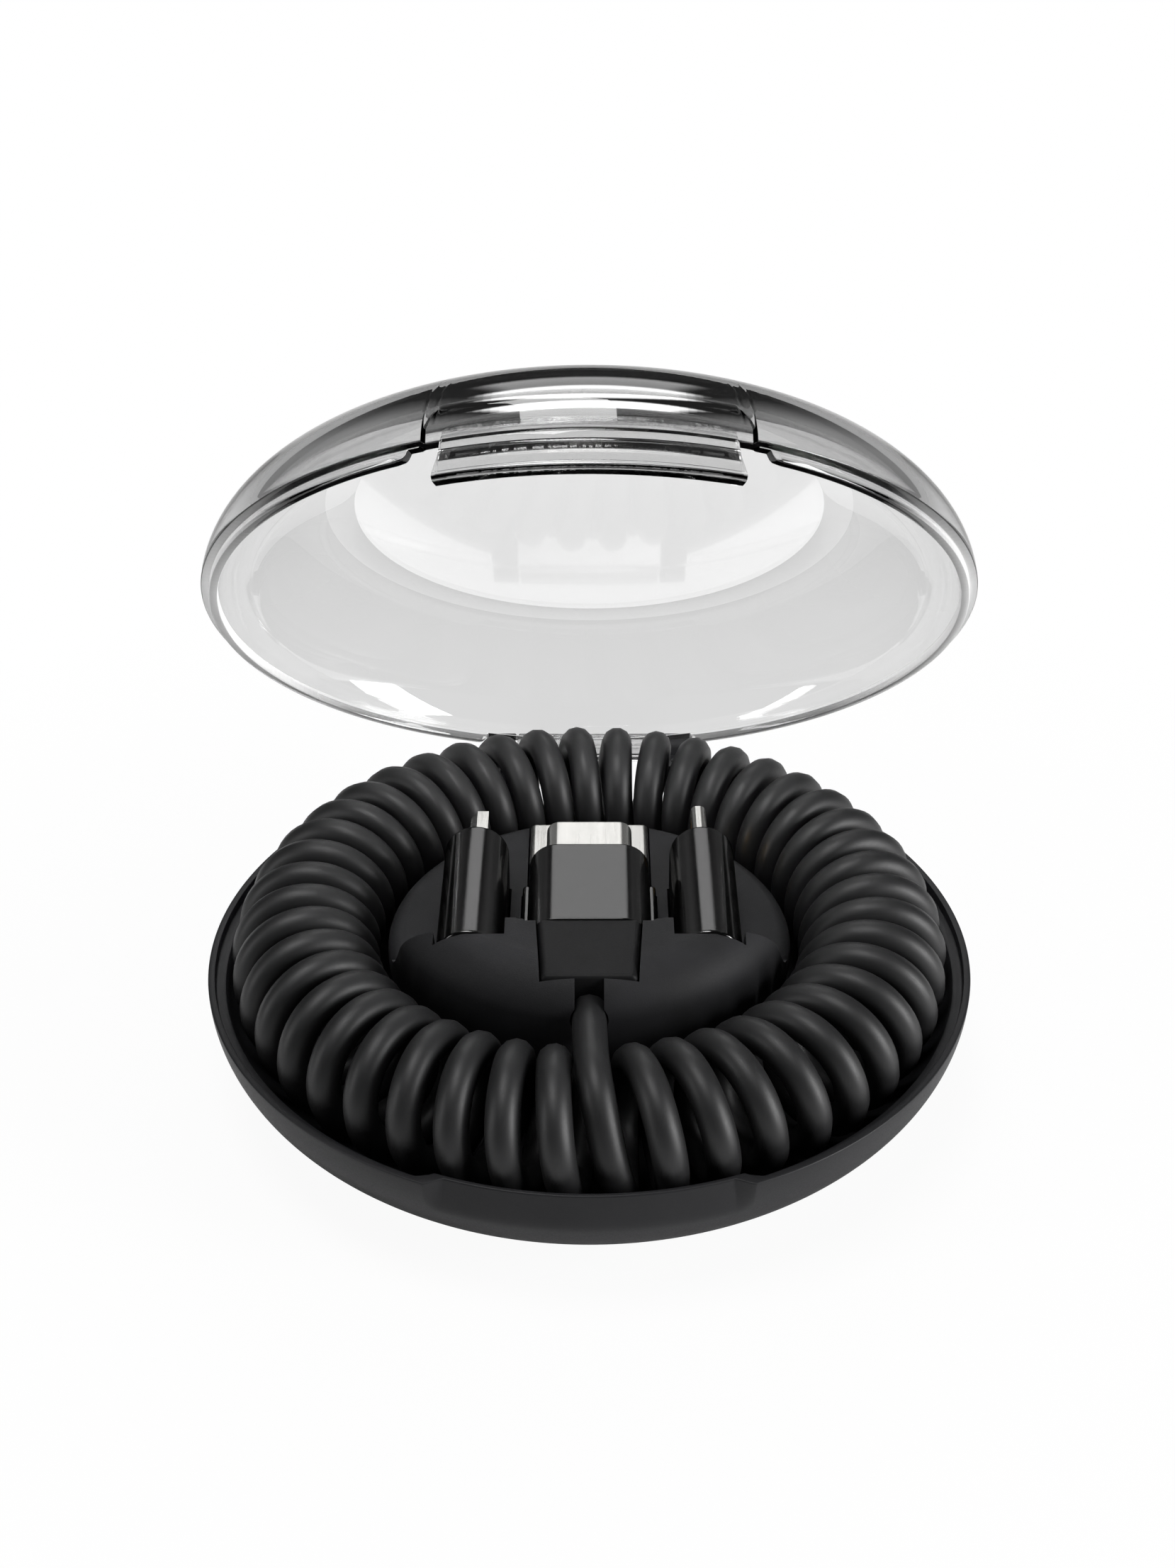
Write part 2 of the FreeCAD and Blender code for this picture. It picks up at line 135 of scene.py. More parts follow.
def pianoPlastic(name, look):
    # black plastic from a polished mould: an even gloss over near-black, with fine handling haze
    material, tree = emptyMaterial(name)
    place = addNode(tree, "ShaderNodeTexCoord").outputs["Object"]
    patch = addNode(tree, "ShaderNodeTexNoise", {
        "Vector": place, "Scale": perMm(look["patch"]), "Detail": 3.0})
    ramp = addNode(tree, "ShaderNodeValToRGB", {"Fac": patch.outputs["Fac"]})
    low, high = ramp.color_ramp.elements
    low.color, high.color = tint(look["dark"]), tint(look["pale"])
    polish = addNode(tree, "ShaderNodeMapRange", {
        "Value": patch.outputs["Fac"], "From Min": noiseBand[0], "From Max": noiseBand[1],
        "To Min": look["rough"] - look["spread"], "To Max": look["rough"] + look["spread"]})
    under = addNode(tree, "ShaderNodeBsdfDiffuse", {"Color": ramp.outputs["Color"]})
    over = addNode(tree, "ShaderNodeBsdfGlossy", {
        "Color": (1, 1, 1, 1), "Roughness": polish.outputs["Result"]})
    mix = addNode(tree, "ShaderNodeMixShader", {
        "Fac": look["shine"], 1: under.outputs["BSDF"], 2: over.outputs["BSDF"]})
    addNode(tree, "ShaderNodeOutputMaterial", {"Surface": mix.outputs["Shader"]})
    return material


def platedSteel(name, look):
    # drawn and plated sheet: streaks along the draw, and soft patches of duller plate
    material, tree = emptyMaterial(name)
    place = addNode(tree, "ShaderNodeTexCoord").outputs["Object"]
    along = addNode(tree, "ShaderNodeMapping", {"Vector": place, "Scale": (1.0, look["draw"], 1.0)})
    streak = addNode(tree, "ShaderNodeTexNoise", {
        "Vector": along.outputs["Vector"], "Scale": perMm(look["streak"]), "Detail": 3.0})
    patch = addNode(tree, "ShaderNodeTexNoise", {
        "Vector": place, "Scale": perMm(look["patch"]), "Detail": 2.0})
    ramp = addNode(tree, "ShaderNodeValToRGB", {"Fac": patch.outputs["Fac"]})
    low, high = ramp.color_ramp.elements
    low.color, high.color = tint(look["dark"]), tint(look["pale"])
    polish = addNode(tree, "ShaderNodeMapRange", {
        "Value": streak.outputs["Fac"], "From Min": noiseBand[0], "From Max": noiseBand[1],
        "To Min": look["rough"] - look["spread"], "To Max": look["rough"] + look["spread"]})
    bump = addNode(tree, "ShaderNodeBump", {
        "Height": streak.outputs["Fac"], "Strength": look["strength"], "Distance": look["relief"] * mm})
    shader = addNode(tree, "ShaderNodeBsdfPrincipled", {
        "Base Color": ramp.outputs["Color"], "Roughness": polish.outputs["Result"],
        "Normal": bump.outputs["Normal"], "Metallic": 1.0})
    addNode(tree, "ShaderNodeOutputMaterial", {"Surface": shader.outputs["BSDF"]})
    return material


def clearPolycarbonate(name, look):
    # injection-moulded clear polycarbonate: slow flow waves and a faint haze
    # faces marked "window" are left clear and a little frosted while the rest takes a grey that paints shade
    # into the dome, faces marked "ground" scatter light
    material, tree = emptyMaterial(name)
    place = addNode(tree, "ShaderNodeTexCoord").outputs["Object"]
    window = addNode(tree, "ShaderNodeAttribute", attribute_name="window").outputs["Fac"]
    flow = addNode(tree, "ShaderNodeTexNoise", {
        "Vector": place, "Scale": perMm(look["flow"]), "Detail": 1.0})
    haze = addNode(tree, "ShaderNodeTexNoise", {
        "Vector": place, "Scale": perMm(look["haze"]), "Detail": 3.0})
    polish = addNode(tree, "ShaderNodeMapRange", {
        "Value": haze.outputs["Fac"], "From Min": look["hazeBand"][0], "From Max": look["hazeBand"][1],
        "To Min": look["rough"], "To Max": look["rough"] + look["spread"]})
    frost = addNode(tree, "ShaderNodeMath", {
        0: window, 1: look["frost"], 2: polish.outputs["Result"]}, operation="MULTIPLY_ADD")
    # painted shade: the dome takes the grey tint while the window stays clear
    paintedDomeShade = addNode(tree, "ShaderNodeMix", {
        "Factor": window, "A": tint(look["tint"]), "B": tint(look["clear"])}, data_type="RGBA")
    bump = addNode(tree, "ShaderNodeBump", {
        "Height": flow.outputs["Fac"], "Strength": look["strength"], "Distance": look["relief"] * mm})
    shader = addNode(tree, "ShaderNodeBsdfPrincipled", {
        "Base Color": paintedDomeShade.outputs["Result"], "Roughness": frost.outputs["Value"], "IOR": look["ior"],
        "Transmission Weight": 1.0, "Normal": bump.outputs["Normal"]})
    ground = addNode(tree, "ShaderNodeAttribute", attribute_name="ground").outputs["Fac"]
    share = addNode(tree, "ShaderNodeMath", {0: ground, 1: look["ground"]}, operation="MULTIPLY")
    scatter = addNode(tree, "ShaderNodeBsdfDiffuse", {"Color": tint(look["clear"])})
    shader = addNode(tree, "ShaderNodeMixShader", {
        "Fac": share.outputs["Value"], 1: shader.outputs["BSDF"], 2: scatter.outputs["BSDF"]})
    path = addNode(tree, "ShaderNodeLightPath")
    through = addNode(tree, "ShaderNodeBsdfTransparent", {"Color": tint(look["shade"])})
    mix = addNode(tree, "ShaderNodeMixShader", {
        "Fac": path.outputs["Is Shadow Ray"], 1: shader.outputs["Shader"], 2: through.outputs["BSDF"]})
    smoke = addNode(tree, "ShaderNodeVolumeAbsorption", {
        "Color": tint("#000000"), "Density": look["density"] * 1000})   # per mm to per metre
    addNode(tree, "ShaderNodeOutputMaterial", {
        "Surface": mix.outputs["Shader"], "Volume": smoke.outputs["Volume"]})
    return material


# ABS bowl from a fine spark-eroded mould: even satin black
satinAbs = mouldedPlastic("satinAbs", {
    "dark": "#1c1c1e", "pale": "#222224", "patch": 9.0, "grit": 0.16, "rough": 0.46, "spread": 0.05,
    "strength": 0.25, "relief": 0.03, "ior": 1.5, "gloss": 0.28})
# soft-touch insert: flat black with a dry, fine tooth
softInsert = mouldedPlastic("softInsert", {
    "dark": "#212122", "pale": "#28282a", "patch": 6.0, "grit": 0.14, "rough": 0.62, "spread": 0.05,
    "strength": 0.3, "relief": 0.03, "ior": 1.45, "gloss": 0.2})
# TPE cable jacket: extruded matt rubber
cableJacket = mouldedPlastic("cableJacket", {
    "dark": "#171718", "pale": "#1c1c1d", "patch": 5.0, "grit": 0.12, "rough": 0.5, "spread": 0.05,
    "strength": 0.1, "relief": 0.01, "ior": 1.5, "gloss": 0.5})
# TPE overmould of the boots
bootRubber = mouldedPlastic("bootRubber", {
    "dark": "#0f0f10", "pale": "#151516", "patch": 4.0, "grit": 0.12, "rough": 0.55, "spread": 0.05,
    "strength": 0.25, "relief": 0.025, "ior": 1.5, "gloss": 0.18})
# ABS plug bodies from a polished mould: piano black with fine handling haze
polishedAbs = pianoPlastic("polishedAbs", {
    "dark": "#040404", "pale": "#070707", "patch": 4.0, "rough": 0.13, "spread": 0.03, "shine": 0.08})
# LCP carriers inside the plugs: dull black
carrier = mouldedPlastic("carrier", {
    "dark": "#141414", "pale": "#1c1c1c", "patch": 2.0, "grit": 0.1, "rough": 0.45, "spread": 0.05,
    "strength": 0.2, "relief": 0.02, "ior": 1.5, "gloss": 0.5})
# nickel-plated steel shells
nickel = platedSteel("nickel", {
    "dark": "#b4b3b0", "pale": "#c2c1be", "patch": 3.0, "streak": 0.25, "draw": 0.04, "rough": 0.24,
    "spread": 0.05, "strength": 0.03, "relief": 0.004})
# gold-flashed contacts
goldFlash = platedSteel("goldFlash", {
    "dark": "#c79a3c", "pale": "#e0b75c", "patch": 1.0, "streak": 0.15, "draw": 0.04, "rough": 0.25,
    "spread": 0.05, "strength": 0.1, "relief": 0.01})
# clear polycarbonate lid: a trace of smoke throughout, a grey on the dome that paints in its shade, a frosted
# window in its flat
clearPc = clearPolycarbonate("clearPc", {
    "tint": "#e4e4e4", "clear": "#ffffff", "shade": "#ececec", "density": 0.012, "ior": 1.58,
    "flow": 14.0, "haze": 5.0, "hazeBand": (0.45, 0.75), "rough": 0.0, "spread": 0.02,
    "frost": 0.05, "ground": 0.65, "strength": 0.03, "relief": 0.05})
print("materials made")


# Surfaces

weldGap = 2e-6      # metres: points closer than this become one
sliver = 1e-7       # metres: shorter edges are dropped
sharpAngle = 35.0   # degrees: edges sharper than this stay crisp


def gridFaces(rows, cols, closeRows, closeCols):
    # quads between neighbouring rows and columns of a grid
    a, b = np.meshgrid(
        np.arange(rows if closeRows else rows - 1), np.arange(cols if closeCols else cols - 1),
        indexing="ij")
    c, d = (a + 1) % rows, (b + 1) % cols
    return np.stack([a * cols + b, a * cols + d, c * cols + d, c * cols + b], -1).reshape(-1, 4)


def putMesh(name, grids, material, body, sharp=sharpAngle):
    # grids of points in mm, each with its closed directions, welded into one closed mesh
    points = []
    faces = []
    start = 0
    for grid, closeRows, closeCols in grids:
        rows, cols = grid.shape[:2]
        points.append(grid.reshape(-1, 3))
        faces.append(gridFaces(rows, cols, closeRows, closeCols) + start)
        start += rows * cols
    mesh = bpy.data.meshes.new(name)
    mesh.from_pydata((np.concatenate(points) * mm).tolist(), [], np.concatenate(faces).tolist())
    weld = bmesh.new()
    weld.from_mesh(mesh)
    bmesh.ops.remove_doubles(weld, verts=weld.verts, dist=weldGap)
    bmesh.ops.dissolve_degenerate(weld, edges=weld.edges, dist=sliver)
    bmesh.ops.recalc_face_normals(weld, faces=weld.faces)
    weld.to_mesh(mesh)
    weld.free()
    mesh.polygons.foreach_set("use_smooth", np.ones(len(mesh.polygons), dtype=bool))
    mesh.set_sharp_from_angle(angle=math.radians(sharp))
    mesh.materials.append(material)
    piece = bpy.data.objects.new(name, mesh)
    bpy.context.scene.collection.objects.link(piece)
    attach(piece, body)
    print(name, len(mesh.polygons), "faces")
    return piece


def around(radius, height, azimuth):
    # cylinder coordinates to points: azimuth in degrees from the front, positive to the right
    a = np.radians(azimuth)
    return np.stack([radius * np.sin(a), -radius * np.cos(a), height + 0 * a], -1)


def columns(count, edges):
    # even azimuths round the case, with a close pair at each edge where the profile changes
    apart = 0.01
    even = np.linspace(-180, 180, count, endpoint=False)
    close = np.array([e + d for e in edges for d in (-apart, apart)])
    return np.unique(np.concatenate([even, close]))


def rim(r0, z0, r1, z1, count):
    # straight run of profile points
    return np.stack([np.linspace(r0, r1, count), np.linspace(z0, z1, count)], -1)


def carried(outline, x0, x1, ease, draw):
    # outline in Y and Z carried along X, drawn in to this share at its eased ends and closed at its middle
    middle = outline.mean(0)
    inward = math.copysign(ease, x1 - x0)
    rings = []
    for x, k in ((x0, 0.0), (x0, draw), (x0 + inward, 1.0), (x1 - inward, 1.0), (x1, draw), (x1, 0.0)):
        ring = middle + (outline - middle) * k
        rings.append(np.stack([np.full(len(ring), x), ring[:, 0], ring[:, 1]], -1))
    return np.array(rings)


hingeLine = (37.48, 11.9)   # mm, Y and Z of the hinge
hingeBarrel = 1.45          # mm, radius of its ears and tongue


# Base: a bowl with an elliptical wall, a rebate inside its rim, a scoop in front and a cut-out behind

baseSet = {
    "radius": 36.5, "depth": 12.0, "flat": 21.0, "inner": 34.85, "floor": 1.6, "edge": 0.12,
    "rebate": 35.85, "rebateDepth": 1.0,
    "scoopRadius": 35.3, "scoopSlope": 0.236, "scoopBlend": 0.1, "scoopLow": 6.5,
    "outerJog": (14.0, 12.6), "innerJog": (15.05, 13.6), "jogAzimuths": (19.5, 26.0, 50),
    "notchHalf": 8.95, "notchSet": 0.8, "notchDrop": 6.0, "azimuths": 300,
    "earInner": 8.25, "earWidth": 2.9, "earEase": (0.12, 0.93),
    "earBack": (-3.85, 0.0), "earWeb": [(-1.75, -3.5), (-3.85, -3.9)],
}


def makeBase(want):
    depth, flat, e, inner = want["depth"], want["flat"], want["edge"], want["inner"]
    span = want["radius"] - flat

    # outside and inside of the wall: quarter ellipses from the flat to the rim
    def outerAt(z):
        return flat + span * np.sqrt(1 - ((depth - z) / depth) ** 2)

    def innerAt(z):
        share = np.clip((depth - z) / (depth - want["floor"]), 0, 1)
        return flat + (inner - flat) * np.sqrt(1 - share ** 2)

    fine = np.linspace(*want["jogAzimuths"])
    notchEdge = 180 - math.degrees(math.asin(want["notchHalf"] / (inner + want["notchSet"])))
    phi = np.unique(np.concatenate([columns(want["azimuths"], (-notchEdge, notchEdge)), fine, -fine]))
    side = np.where(np.abs(phi) < 90, want["radius"] * np.sin(np.radians(np.abs(phi))), want["radius"])

    def jog(ends):
        # 0 to 1 across the jog: half a straight ramp, half a smooth step
        k = np.clip((ends[0] - side) / (ends[0] - ends[1]), 0, 1)
        return (0.5 * k + 0.5 * k * k * (3 - 2 * k))[:, None, None]

    # wall up to where the scoop begins
    t = np.linspace(0, math.acos(1 - want["scoopLow"] / depth), 26)
    under = np.concatenate([
        rim(0, 0, flat - 0.05, 0, 6), np.stack([flat + span * np.sin(t), depth * (1 - np.cos(t))], -1)])
    # wall on to the rim's rounded outer edge, plain and scooped
    rise = np.linspace(want["scoopLow"] + 0.1, depth - e, 20)
    a = np.linspace(0, np.pi / 2, 5)
    face = want["scoopRadius"] + want["scoopSlope"] * (depth - rise)
    soft = want["scoopBlend"]
    scooped = -soft * np.log(np.exp(-(outerAt(rise) - face) / soft) + 1) + face
    turn = np.stack([e * np.cos(a) - e, depth - e + e * np.sin(a)], -1)
    wall = np.concatenate([np.stack([outerAt(rise), rise], -1), turn + (want["radius"], 0)])
    cut = np.concatenate([np.stack([scooped, rise], -1), turn + (want["scoopRadius"], 0)])
    # rim's ledge and rebate, or the flat top behind the scoop
    r, low = want["rebate"], depth - want["rebateDepth"]
    step = np.array([
        (r + 0.06, depth), (r + 0.02, depth - 0.02), (r, depth - 0.06), (r, low + 0.2),
        (r - 0.03, low + 0.07), (r - 0.1, low + 0.02), (r - 0.2, low), (r - 0.5, low),
        (inner + 0.14, low), (inner + 0.04, low - 0.04), (inner, low - 0.14)])
    top = np.concatenate([
        rim(want["scoopRadius"] - e - 0.02, depth, inner + 0.14, depth, 9),
        [(inner + 0.04, depth - 0.04), (inner, depth - 0.14)]])
    # inside of the wall and the floor
    t = np.linspace(math.acos((depth - low + 0.3) / (depth - want["floor"])), 0, 26)
    inside = np.stack([flat + (inner - flat) * np.sin(t), depth - (depth - want["floor"]) * np.cos(t)], -1)
    inside = np.concatenate([inside, rim(flat - 0.5, want["floor"], 0, want["floor"], 5)])
    n = len(phi)
    k1, k2 = jog(want["outerJog"]), jog(want["innerJog"])
    profile = np.concatenate([
        np.broadcast_to(under, (n,) + under.shape), wall + (cut - wall) * k1, step + (top - step) * k2,
        np.broadcast_to(inside, (n,) + inside.shape)], 1)
    # hinge cut-out behind
    floorLine = depth - want["notchDrop"]
    high = profile[0, :, 1] > floorLine
    notch = profile[0].copy()
    notch[high] = rim(outerAt(floorLine), floorLine, innerAt(floorLine), floorLine, int(high.sum()))
    profile = np.where((np.abs(phi) > notchEdge)[:, None, None], notch, profile)
    grids = [(around(profile[..., 0], profile[..., 1], phi[:, None]), True, False)]
    # hinge ears: a round end on a web that leans back into the wall
    arc = np.radians(np.linspace(180, -50, 24))
    ear = hingeLine + np.concatenate([
        [want["earBack"]], hingeBarrel * np.stack([np.cos(arc), np.sin(arc)], -1), want["earWeb"]])
    for sign in (-1, 1):
        x0 = sign * want["earInner"]
        x1 = sign * (want["earInner"] + want["earWidth"])
        grids.append((carried(ear, x0, x1, *want["earEase"]), False, True))
    piece = putMesh("caseBowl", grids, satinAbs, "base")
    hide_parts("base_shell")


makeBase(baseSet)


# Lid: one closed wall whose profile changes round the rim, drawn shut and swung open about the hinge

lidSet = {
    "radius": 36.5, "height": 11.24, "flat": 21.66, "inner": 34.9, "window": 22.58, "windowWall": 0.92,
    "crownSet": 17.4, "rimPlane": 12.0, "seam": 0.1, "edge": 0.12,
    "landHalf": 13.56, "landRadius": 35.95, "landRise": 3.1, "landRound": 1.6,
    "lipInner": 34.9, "lipOuter": 35.7, "lipDrop": 0.85, "lipFront": 15.1, "lipBack": 11.6, "lipRound": 0.8,
    "lipBead": 0.09, "beadFront": 13.94,       # the bead's share of the lip's drop, and where it starts
    "tabHalf": 12.07, "tabRoot": 35.6, "tabDrop": 4.4, "tabFlare": 1.15, "tabWall": 0.75, "bead": 0.45,
    "tabStart": (1.2, 0.75), "tabStraight": 0.82,
    "catch": (0.95, 2.3, 0.28),                # how far down its top and foot are, and its depth
    "open": 50.93, "barrelHalf": 7.95, "tongueEase": (0.12, 0.94),
    "tongueRoot": [(-2.4, 0.17), (-1.0, 0.17), (-0.92, 0.4), (-0.9, 0.9)],
    "tongueWeb": [(-2.1, -0.62), (-2.5, -0.2)],
    "azimuths": 300, "landAzimuths": (3.0, 121), "hingeAzimuths": (17.0, 23.0, 30),
    "clearBy": 3.0,                            # how far past the window its outer skin is left clear of the dome's painted shade
    "groundAt": (45.0, 80.0, 100.0, 135.0), "groundShare": (0.0, 1.0, 0.9, 0.15), "sharp": 28.0,
}


def swung(points, degrees):
    # a turn about the hinge line: positive opens the lid
    y0, z0 = hingeLine
    a = math.radians(-degrees)
    y = points[..., 1] - y0
    z = points[..., 2] - z0
    return np.stack([
        points[..., 0], y0 + y * math.cos(a) - z * math.sin(a), z0 + y * math.sin(a) + z * math.cos(a)], -1)


def markFaces(mesh, want):
    # the flat window, inside and out, carries the mark that keeps it clear of the dome's painted shade and a
    # little frosted
    level, margin = 0.004, 0.02   # mm
    centres = np.empty(len(mesh.polygons) * 3)
    mesh.polygons.foreach_get("center", centres)
    shut = swung(centres.reshape(-1, 3) / mm, -want["open"])
    below = want["rimPlane"] + want["height"] - shut[:, 2]
    away = np.hypot(shut[:, 0], shut[:, 1])
    inside = (np.abs(below - want["windowWall"]) < level) & (away < want["window"])
    inside |= (below < want["windowWall"] - margin) & (away < want["window"] + want["clearBy"])
    # the rim's end face is ground: its mark grows from the front round to the sides
    ahead = np.degrees(np.abs(np.arctan2(shut[:, 0], -shut[:, 1])))
    ground = (shut[:, 2] < want["rimPlane"] + want["seam"] + margin) & (away > want["lipInner"] - margin)
    ground = ground * np.interp(ahead, want["groundAt"], want["groundShare"])
    for name, values in (("window", inside), ("ground", ground)):
        mark = mesh.attributes.new(name, "FLOAT", "FACE")
        mark.data.foreach_set("value", values.astype(np.float32))
    print("window faces", int(inside.sum()), "ground faces", int((ground > 0).sum()))


def makeLid(want):
    flat, height, e, inner, seam = want["flat"], want["height"], want["edge"], want["inner"], want["seam"]
    ceiling = height - want["windowWall"]

    # outside of the dome: a quarter ellipse from the flat to the rim
    def outerAt(z):
        return flat + (want["radius"] - flat) * np.sqrt(1 - np.clip(z / height, 0, 1) ** 2)

    landEdge = math.degrees(math.asin(want["landHalf"] / want["radius"]))
    tabEdge = math.degrees(math.asin(want["tabHalf"] / want["radius"]))
    past, count = want["landAzimuths"]
    fine = np.linspace(-1, 1, count) * (landEdge + past)
    back = 180 - np.linspace(*want["hingeAzimuths"])
    phi = np.unique(np.concatenate([columns(want["azimuths"], (-tabEdge, tabEdge)), fine, back, -back]))
    n = len(phi)
    x = want["radius"] * np.sin(np.radians(np.clip(np.abs(phi), 0, 90)))
    xBack = want["radius"] * np.sin(np.radians(np.clip(180 - np.abs(phi), 0, 90)))
    # height of the land's upper edge: full in the middle, rounded off at its two ends
    gone = np.clip((x - (want["landHalf"] - want["landRound"])) / want["landRound"], 0, 1)
    landTop = seam + e + (want["landRise"] - seam - e) * np.sqrt(1 - gone ** 2)
    inLand = np.abs(phi) < landEdge
    landTop = np.where(inLand, landTop, want["landRise"])
    sections = [np.broadcast_to(rim(0, height, flat, height, 6), (n, 6, 2))]
    # outer dome from the flat down to the land
    angle = np.linspace(0, 1, 44)[None, 1:] * np.arccos(np.clip(landTop / height, 0, 1))[:, None]
    sections.append(np.stack([flat + (want["radius"] - flat) * np.sin(angle), height * np.cos(angle)], -1))
    # the step in to the land and its upright face, or the dome's last stretch
    low = seam + e
    zStep = landTop[:, None] + (low - landTop[:, None]) * np.linspace(0, 1, 9)[None]
    rPlain = outerAt(zStep)
    rLand = np.minimum(rPlain, want["landRadius"])
    sections.append(np.stack([np.where(inLand[:, None], rLand, rPlain), zStep], -1))
    # the rim's lower outer edge, rounded, then the tab hanging from it
    a = np.linspace(0, np.pi / 2, 5)
    rOut = np.where(inLand, np.minimum(outerAt(low), want["landRadius"]), outerAt(low))
    hasTab = np.abs(phi) < tabEdge
    root, drop, flare = want["tabRoot"], want["tabDrop"], want["tabFlare"]
    wall, b, part = want["tabWall"], want["bead"], want["tabStraight"]
    edgeRound = np.stack([
        rOut[:, None] - e + e * np.cos(a), seam + e - e * np.sin(a) + 0 * rOut[:, None]], -1)
    edgeTab = rim(want["landRadius"], want["tabStart"][0], want["landRadius"], want["tabStart"][1], len(a))
    sections.append(np.where(hasTab[:, None, None], edgeTab, edgeRound))
    beadTurn = np.radians(np.linspace(70, -90, 9))
    tabOut = np.concatenate([
        [[root + wall - 0.35, 0.6], [root + wall - 0.2, 0.3], [root + wall, 0.0]],
        rim(root + wall, 0.0, root + wall + flare * part, -drop * part, 6)[1:],
        np.stack([root + flare + wall + b * np.cos(beadTurn), -drop + b + b * np.sin(beadTurn)], -1)])
    # inner face of the tab, with the catch as a low wedge on it
    top, foot, deep = want["catch"]
    atTop, atFoot = root + flare * top / drop, root + flare * foot / drop
    tabIn = np.concatenate([
        [[root + flare + 0.1, -drop], [root + flare + 0.02, -drop + 0.08]],
        rim(root + flare, -drop + 0.12, atFoot, -foot, 6),
        rim(atFoot, -foot, atTop - deep, -top, 6)[1:],
        [[atTop - deep + 0.04, 0.06 - top], [atTop - 0.03, 0.07 - top]],
        rim(atTop, 0.08 - top, root, 0.0, 4), [[root, seam]]])
    tab = np.concatenate([tabOut, tabIn])
    fold = np.stack([
        np.linspace(rOut - e - 0.01, np.full(n, want["lipOuter"] + 0.22), len(tab), axis=1),
        np.full((n, len(tab)), seam)], -1)
    sections.append(np.where(hasTab[:, None, None], tab, fold))
    # the lip under the rim: it runs out in a round at each end, and leaves a flat rim between
    share = np.where(np.abs(phi) < 90, x - want["lipFront"], xBack - want["lipBack"]) / want["lipRound"]
    share = np.sqrt(1 - (1 - np.clip(share, 0, 1)) ** 2)[:, None]
    # past its front ends only a low bead goes on, up to the land
    beaded = (np.abs(phi) < 90) & (x > want["beadFront"])
    share = np.maximum(share, want["lipBead"] * beaded[:, None])
    r0, r1 = want["lipInner"], want["lipOuter"]
    foot = seam - (seam + want["lipDrop"]) * share
    reach = np.array([r1 + 0.2, r1 + 0.05, r1, r1, r1 - 0.04, r1 - 0.12, r0 + 0.12, r0 + 0.04, r0, r0])
    level = np.concatenate([
        seam + 0 * share, seam - 0.02 * share, seam - 0.07 * share, foot + 0.12 * share, foot + 0.04 * share,
        foot, foot, foot + 0.04 * share, foot + 0.12 * share, seam + 0.05 + 0 * share], 1)
    flatRun = np.concatenate([np.linspace(root - 0.03, r0 + 0.04, 9), [r0]])
    lip = np.stack([np.where(share > 0, reach, flatRun), level], -1)
    sections.append(lip)
    # inner dome: part of an ellipse up to its crease with the flat window
    c = want["crownSet"]
    crease = math.acos((want["window"] - c) / (inner - c))
    tall = ceiling / math.sin(crease)
    turn = np.concatenate([np.linspace(0.012, crease - 0.004, 44), [crease - 0.001]])
    inside = np.stack([c + (inner - c) * np.cos(turn), tall * np.sin(turn)], -1)
    inside = np.concatenate([
        inside, [[want["window"] - 0.03, ceiling]], rim(want["window"] - 0.12, ceiling, 0, ceiling, 6)])
    sections.append(np.broadcast_to(inside, (n,) + inside.shape))
    profile = np.concatenate(sections, 1)
    shut = around(profile[..., 0], profile[..., 1] + want["rimPlane"], phi[:, None])
    grids = [(swung(shut, want["open"]), True, False)]
    # hinge tongue: the barrel and its web in one outline, carried along the hinge line
    arc = np.radians(np.linspace(115, -118, 30))
    side = hingeLine + np.concatenate([
        want["tongueRoot"], hingeBarrel * np.stack([np.cos(arc), np.sin(arc)], -1), want["tongueWeb"]])
    half = want["barrelHalf"]
    tongue = carried(side, -half, half, *want["tongueEase"])
    grids.append((swung(tongue, want["open"]), False, True))
    piece = putMesh("clearLid", grids, clearPc, "lid", want["sharp"])
    markFaces(piece.data, want)
    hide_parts("lid")


makeLid(lidSet)


# Plugs and adapters: rounded sections carried along their length

supportSet = {"corner": 0.03, "least": 0.05, "end": 0.04, "lip": 0.3}   # mm, close points that hold an edge


def section(width, height, corner, steps=8):
    # rounded rectangle, its four corner arcs with a close support point at each end
    near = supportSet["corner"]
    r = min(corner, width / 2 - 0.001, height / 2 - 0.001)
    a = np.linspace(0, np.pi / 2, steps + 1)
    parts = []
    for su, sw, turn in ((1, 1, 0), (-1, 1, 90), (-1, -1, 180), (1, -1, 270)):
        angle = a + math.radians(turn)
        arc = np.stack([
            su * (width / 2 - r) + r * np.cos(angle), sw * (height / 2 - r) + r * np.sin(angle)], -1)
        ahead = np.array([-math.sin(angle[-1]), math.cos(angle[-1])]) * near
        behind = np.array([math.sin(angle[0]), -math.cos(angle[0])]) * near
        room = min(width / 2 - r, height / 2 - r) > supportSet["least"]
        parts.append(np.concatenate([[arc[0] + behind * room], arc, [arc[-1] + ahead * room]]))
    return np.concatenate(parts)


def eased(y0, y1, ease0, ease1):
    # places along Y with rounded ends: (place, how far the section draws in)
    a = np.linspace(0, np.pi / 2, 5)
    first = [(y0 + ease0 * (1 - math.cos(v)), ease0 * (1 - math.sin(v))) for v in a]
    last = [(y1 - ease1 * (1 - math.cos(v)), ease1 * (1 - math.sin(v))) for v in a[::-1]]
    near = supportSet["end"]
    return first + [(y0 + ease0 + near, 0.0), (y1 - ease1 - near, 0.0)] + last


def ringAt(shape, place, x, z, draw=0.0):
    # one section stood across Y at this place, drawn in all round by so much
    s = section(shape[0] - 2 * draw, shape[1] - 2 * draw, max(shape[2] - draw, 0.02))
    return np.stack([x + s[:, 0], np.full(len(s), place), z + s[:, 1]], -1)


def capped(rings):
    # rings with their two ends drawn to the middle, so that the skin is closed
    first = np.broadcast_to(rings[0].mean(0), rings[0].shape)
    last = np.broadcast_to(rings[-1].mean(0), rings[-1].shape)
    return np.array([first] + rings + [last]), False, True


